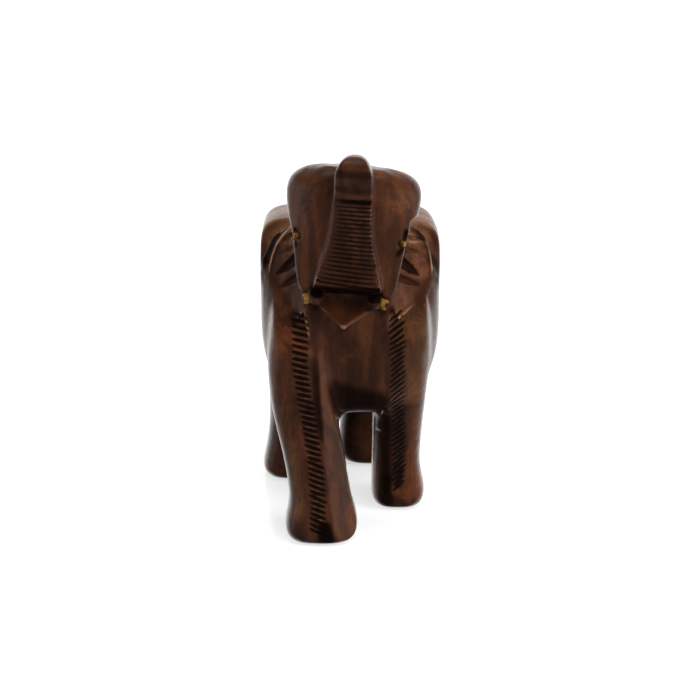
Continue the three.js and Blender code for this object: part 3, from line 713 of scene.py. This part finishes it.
def lacquered_rosewood():
    """Sonokeling rosewood, hand carved, with painted shade in its cuts, and brushed with gloss lacquer.

    It is dark brown with red-brown and orange patches. Painted shade darkens its hollows and shaded
    parts, and it is paler and duller on the back and edges, partly from wear and partly as painted light.
    """
    material, tree, surface = shader_tree("lacquered_rosewood")
    place = add_node(tree, "ShaderNodeTexCoord").outputs["Object"]
    cut, edge, hollow_shade, painted_shade_and_stain, wear_and_painted_light = (
        add_node(tree, "ShaderNodeAttribute", attribute_name=name).outputs["Fac"]
        for name in ("cut_depth", "edge", "hollow_shade", "painted_shade_and_stain", "wear_and_painted_light"))

    # Grain runs up the block: bands about 6 mm apart, fibres under 1 mm, both many times longer than wide.
    along = add_node(tree, "ShaderNodeMapping", {"Vector": place, "Scale": (1, 1, 0.14)}).outputs[0]
    bands = add_node(tree, "ShaderNodeTexNoise", {
        "Vector": along, "Scale": 170, "Detail": 4, "Roughness": 0.6, "Distortion": 0.6}).outputs["Fac"]
    fine = add_node(tree, "ShaderNodeMapping", {"Vector": place, "Scale": (1, 1, 0.05)}).outputs[0]
    fibres = add_node(tree, "ShaderNodeTexNoise", {
        "Vector": fine, "Scale": 1300, "Detail": 3}).outputs["Fac"]
    blotches = add_node(tree, "ShaderNodeTexNoise", {
        "Vector": place, "Scale": 48, "Detail": 6, "Roughness": 0.66, "Distortion": 0.6}).outputs["Fac"]
    specks = add_node(tree, "ShaderNodeTexNoise", {
        "Vector": place, "Scale": 420, "Detail": 4, "Roughness": 0.7}).outputs["Fac"]
    patchy = add_node(tree, "ShaderNodeMapRange", {
        "Value": blotches, "From Min": 0.3, "From Max": 0.6, "To Min": 0.4}).outputs[0]
    wear_and_painted_light = add_node(tree, "ShaderNodeMath", {0: wear_and_painted_light, 1: patchy}, operation="MULTIPLY").outputs[0]
    pits = add_node(tree, "ShaderNodeMath", {0: wear_and_painted_light, 1: specks}, operation="MULTIPLY").outputs[0]
    colour = layered(tree, linear("#2d170d"), [
        (bands, 0.4, 0.66, 0.7, "#482612"),
        (blotches, 0.52, 0.68, 0.75, "#562c13"),
        (blotches, 0.47, 0.3, 0.75, "#1d0e08"),
        # Paler where worn, and painted light where the strokes stand for lit tops and sides.
        (wear_and_painted_light, 0.0, 1.0, 1.0, "#5f3f28"),
        (fibres, 0.5, 0.75, 0.4, "#170a05"),
        (pits, 0.42, 0.56, 0.7, "#2a180e"),
        (specks, 0.56, 0.75, 0.4, "#150a06"),
        # Paler convex edges: partly wear, partly a painted highlight.
        (edge, 0.1, 0.22, 0.55, "#9a6d52"),
        # Painted shade darkens the hollows.
        (hollow_shade, -0.15, -1.0, 0.7, "#160906"),
        # Painted shade in the mouth, creases, pits, grooves, chest and between the legs; the eyes and the
        # trunk's grain rings are darkened too.
        (painted_shade_and_stain, 0.0, 1.0, 1.0, "#0a0403"),
        # Painted shade darkens the knife cuts, the more the deeper they are.
        (cut, 0.06, 0.3, 0.95, "#080302"),
    ])
    tree.links.new(colour, surface.inputs["Base Color"])

    rough = add_node(tree, "ShaderNodeMapRange", {
        "Value": specks, "From Min": 0.3, "From Max": 0.7, "To Min": 0.4, "To Max": 0.6}).outputs[0]
    # The coat is duller where the strokes of painted shade and of painted light and wear lie.
    dull = add_node(tree, "ShaderNodeMath", {0: wear_and_painted_light, 1: painted_shade_and_stain}, operation="MAXIMUM").outputs[0]
    coat = add_node(tree, "ShaderNodeMapRange", {"Value": dull, "To Min": 1.0, "To Max": 0.15}).outputs[0]
    sheen = add_node(tree, "ShaderNodeMapRange", {
        "Value": blotches, "From Min": 0.35, "From Max": 0.65, "To Min": 0.1, "To Max": 0.24}).outputs[0]
    tree.links.new(rough, surface.inputs["Roughness"])
    tree.links.new(coat, surface.inputs["Coat Weight"])
    tree.links.new(sheen, surface.inputs["Coat Roughness"])
    level = add_node(tree, "ShaderNodeMapRange", {"Value": dull, "To Min": 0.4, "To Max": 0.02}).outputs[0]
    tree.links.new(level, surface.inputs["Specular IOR Level"])
    waves = add_node(tree, "ShaderNodeBump", {"Height": blotches, "Strength": 0.6, "Distance": 0.0012})
    pores = add_node(tree, "ShaderNodeBump", {
        "Height": fibres, "Strength": 0.35, "Distance": 0.0002, "Normal": waves.outputs[0]})
    tree.links.new(pores.outputs[0], surface.inputs["Normal"])
    tree.links.new(waves.outputs[0], surface.inputs["Coat Normal"])
    surface.inputs["IOR"].default_value = 1.4
    surface.inputs["Coat IOR"].default_value = 1.5
    return material


def polished_brass():
    """Brass rod and tube, cut and polished bright, brown where lacquer and wood staining have run on to it,
    with painted shade inside the tubes.
    """
    material, tree, surface = shader_tree("polished_brass")
    place = add_node(tree, "ShaderNodeTexCoord").outputs["Object"]
    bore_shade = add_node(tree, "ShaderNodeAttribute", attribute_name="bore_shade").outputs["Fac"]
    smears = add_node(tree, "ShaderNodeTexNoise", {
        "Vector": place, "Scale": 420, "Detail": 4}).outputs["Fac"]
    colour = layered(tree, linear("#ab8244"), [
        (smears, 0.42, 0.62, 1.0, "#6d4218"),
        # Painted shade darkens the inside of each tube.
        (bore_shade, 0.0, 1.0, 1.0, "#0c0603"),
    ])
    tree.links.new(colour, surface.inputs["Base Color"])
    dull = add_node(tree, "ShaderNodeMapRange", {
        "Value": smears, "From Min": 0.3, "From Max": 0.7, "To Min": 0.3, "To Max": 0.55}).outputs[0]
    tree.links.new(dull, surface.inputs["Roughness"])
    scratches = add_node(tree, "ShaderNodeTexNoise", {
        "Vector": place, "Scale": 3000, "Detail": 2}).outputs["Fac"]
    bump = add_node(tree, "ShaderNodeBump", {"Height": scratches, "Strength": 0.2, "Distance": 0.0001})
    tree.links.new(bump.outputs[0], surface.inputs["Normal"])
    surface.inputs["Metallic"].default_value = 0.65
    return material


def white_laminate():
    """A smooth white laminate table that shows a faint image of what stands on it."""
    material, tree, surface = shader_tree("white_laminate")
    place = add_node(tree, "ShaderNodeTexCoord").outputs["Object"]
    waves = add_node(tree, "ShaderNodeTexNoise", {"Vector": place, "Scale": 90, "Detail": 2}).outputs["Fac"]
    gloss = add_node(tree, "ShaderNodeMapRange", {
        "Value": waves, "To Min": 0.08, "To Max": 0.14}).outputs[0]
    tree.links.new(gloss, surface.inputs["Roughness"])
    seen = add_node(tree, "ShaderNodeLightPath").outputs["Is Camera Ray"]
    glow = add_node(tree, "ShaderNodeMath", {0: seen, 1: 0.55}, operation="MULTIPLY").outputs[0]
    tree.links.new(glow, surface.inputs["Emission Strength"])
    surface.inputs["Base Color"].default_value = linear("#b4b4b4")
    surface.inputs["Emission Color"].default_value = (1, 1, 1, 1)
    return material


# ---- The wood ----

rosewood = lacquered_rosewood()
brass = polished_brass()

elephant = carve(rosewood)
elephant.data.materials.clear()
elephant.data.materials.append(rosewood)
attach(elephant, "root")
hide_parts("carved_body")

# ---- The brass ----

# Half sections of the turned pieces, as points of a place along the axis (a share of half the length, then
# mm) and a radius (a share of the outer radius, then mm). -1 is the seat and 1 the outer end.
PIN = [(-1, 0, 0, 0), (-1, 0, 1, 0), (1, -0.6, 1, 0), (1, -0.35, 1, -0.12), (1, -0.15, 1, -0.35),
       (1, -0.04, 1, -0.65), (1, 0, 0, 0)]
TUBE = [(-1, 0, 0, 1.1), (1, -0.3, 0, 1.1), (1, -0.08, 0, 1.2), (1, 0, 0, 1.4), (1, 0, 1, -0.4),
        (1, -0.1, 1, -0.14), (1, -0.35, 1, 0), (-1, 0, 1, 0), (-1, 0, 0, 1.1)]
HEAD_MIDDLE = Vector((0, -35, 105))  # mm; every outer end points away from it
# Painted shade: a tube is painted dark inside this radius, in its hole.
BORE_RADIUS = 1.25  # mm, inside which a tube is dark
TURNED_STEPS = 48


def axis_places(points, middle, axis):
    """How far points lie along an axis through a middle, and how far out from it."""
    off = points - middle
    along = off @ np.array(axis)
    return along, np.sqrt(np.maximum((off ** 2).sum(axis=1) - along ** 2, 0))


def turned_brass(node, section):
    """A smooth turned piece in the place of a CAD pin or tube."""
    points, _ = mesh_arrays(merged_copy(node))
    middle = points.mean(axis=0)
    centre = Vector(middle.tolist())
    axis = Vector(np.linalg.svd(points - middle)[2][0].tolist())
    if axis.dot(centre - HEAD_MIDDLE) < 0:
        axis.negate()
    along, out = axis_places(points, middle, axis)
    half, outer = float(along.max()), float(out.max())
    across = axis.orthogonal().normalized()
    work = bmesh.new()
    rim = [work.verts.new((centre + axis * (share * half + more) + across * (part * outer + extra)) * MM)
           for share, more, part, extra in section]
    edges = [work.edges.new(pair) for pair in zip(rim, rim[1:]) if (pair[0].co - pair[1].co).length > 1e-7]
    bmesh.ops.spin(work, geom=rim + edges, cent=centre * MM, axis=axis, angle=math.tau,
                   steps=TURNED_STEPS, use_merge=True)
    bmesh.ops.remove_doubles(work, verts=work.verts, dist=2e-6)
    bmesh.ops.dissolve_degenerate(work, edges=work.edges, dist=1e-6)
    bmesh.ops.recalc_face_normals(work, faces=work.faces)
    mesh = bpy.data.meshes.new(node + "_turned")
    work.to_mesh(mesh)
    work.free()
    mesh.polygons.foreach_set("use_smooth", np.ones(len(mesh.polygons), bool))
    places, _ = mesh_arrays(mesh)
    _, out = axis_places(places, middle, axis)
    # Painted shade: the vertices inside a tube's hole are marked to be painted dark.
    bore_shade = mesh.attributes.new("bore_shade", "FLOAT", "POINT")
    bore_shade.data.foreach_set("value", ((out < BORE_RADIUS) & (section is TUBE)).astype(np.float32))
    piece = new_object(node + "_turned", mesh)
    piece.data.materials.append(brass)
    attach(piece, "root")
    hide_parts(node)


for side in ("left", "right"):
    turned_brass(side + "_eye_pin", PIN)
    turned_brass(side + "_tusk_ferrule", TUBE)

# ---- Floor, light and camera ----

floor_mesh = bpy.data.meshes.new("table_top")
floor_mesh.from_pydata([(-3, -3, 0), (3, -3, 0), (3, 3, 0), (-3, 3, 0)], [], [(0, 1, 2, 3)])
floor = new_object("table_top", floor_mesh)
floor.location.z = -0.0002  # so that the soles and the table are not in one plane
floor.data.materials.append(white_laminate())
floor.visible_glossy = False  # the lacquer isn't veiled by the table's reflection

FIGURE_MIDDLE = Vector((0, 0, 0.07))  # m


def soft_box(name, place, width, height, power):
    """A lamp of a size in metres and a power in watts that faces the figure but isn't mirrored in it."""
    light = bpy.data.lights.new(name, "AREA")
    light.shape = "RECTANGLE"
    light.size, light.size_y, light.energy = width, height, power
    lamp = new_object(name, light)
    lamp.location = place
    lamp.rotation_euler = (FIGURE_MIDDLE - Vector(place)).to_track_quat("-Z", "Y").to_euler()
    lamp.visible_glossy = False


soft_box("left_box", (-0.8, -0.2, 0.35), 0.5, 0.8, 9)
soft_box("right_box", (0.75, -0.35, 0.35), 0.5, 0.8, 13)
soft_box("overhead", (0.1, 0.0, 1.0), 0.6, 0.6, 8)
soft_box("front_fill", (0.3, -1.0, 0.6), 0.7, 0.7, 7)

scene = bpy.context.scene
scene.view_settings.view_transform = "Standard"
world = bpy.data.worlds.new("studio")
scene.world = world
world.use_nodes = True
sky = world.node_tree
sky.nodes.clear()
direction = add_node(sky, "ShaderNodeTexCoord").outputs["Generated"]
directions = add_node(sky, "ShaderNodeSeparateXYZ", {0: direction})
# The room is bright behind the figure and dark in front of it and high up.
glow = add_node(sky, "ShaderNodeMapRange", {
    "Value": directions.outputs["Y"], "From Min": 0.15, "From Max": 0.8,
    "To Min": 0.04, "To Max": 1.1}).outputs[0]
height = add_node(sky, "ShaderNodeMapRange", {
    "Value": directions.outputs["Z"], "From Min": 0.36, "From Max": 0.5,
    "To Min": 1.0, "To Max": 0.12}).outputs[0]
glow = add_node(sky, "ShaderNodeMath", {0: glow, 1: height}, operation="MULTIPLY").outputs[0]
# Pale panels to the left and right, low behind and overhead give the lacquer its highlights: the direction
# of each, the cosines where it starts and is full, and its brightness.
PANELS = [
    ((-1, 0, 0), 0.86, 0.97, 0.3),
    ((1, 0, 0), 0.88, 0.97, 0.25),
    ((-0.5, 0.45, -0.74), 0.9, 0.985, 1.4),
    ((0.5, 0.45, -0.74), 0.9, 0.985, 1.2),
    ((0, 0.2, 0.98), 0.93, 0.99, 0.45),
]
for towards, start, full, brightness in PANELS:
    facing = add_node(sky, "ShaderNodeVectorMath", {0: direction, 1: towards},
                      operation="DOT_PRODUCT").outputs[1]
    panel = add_node(sky, "ShaderNodeMapRange", {
        "Value": facing, "From Min": start, "From Max": full, "To Max": brightness}).outputs[0]
    glow = add_node(sky, "ShaderNodeMath", {0: glow, 1: panel}, operation="MAXIMUM").outputs[0]
seen = add_node(sky, "ShaderNodeLightPath").outputs["Is Camera Ray"]
strength = add_node(sky, "ShaderNodeMath", {0: glow, 1: seen}, operation="MAXIMUM").outputs[0]
backdrop = add_node(sky, "ShaderNodeBackground", {"Color": (1, 1, 1, 1), "Strength": strength})
add_node(sky, "ShaderNodeOutputWorld", {"Surface": backdrop.outputs[0]})

VIEW_POINT = Vector((0.00095, 0, 0.059))  # m, what the camera looks at
VIEW_DISTANCE = 0.65  # m
VIEW_HEIGHT = math.radians(18)  # above level
camera_data = bpy.data.cameras.new("camera")
camera_data.sensor_width = 36
camera_data.lens = 82.2
camera = new_object("camera", camera_data)
camera.location = VIEW_POINT + VIEW_DISTANCE * Vector((0, -math.cos(VIEW_HEIGHT), math.sin(VIEW_HEIGHT)))
camera.rotation_euler = (VIEW_POINT - camera.location).to_track_quat("-Z", "Y").to_euler()
scene.camera = camera
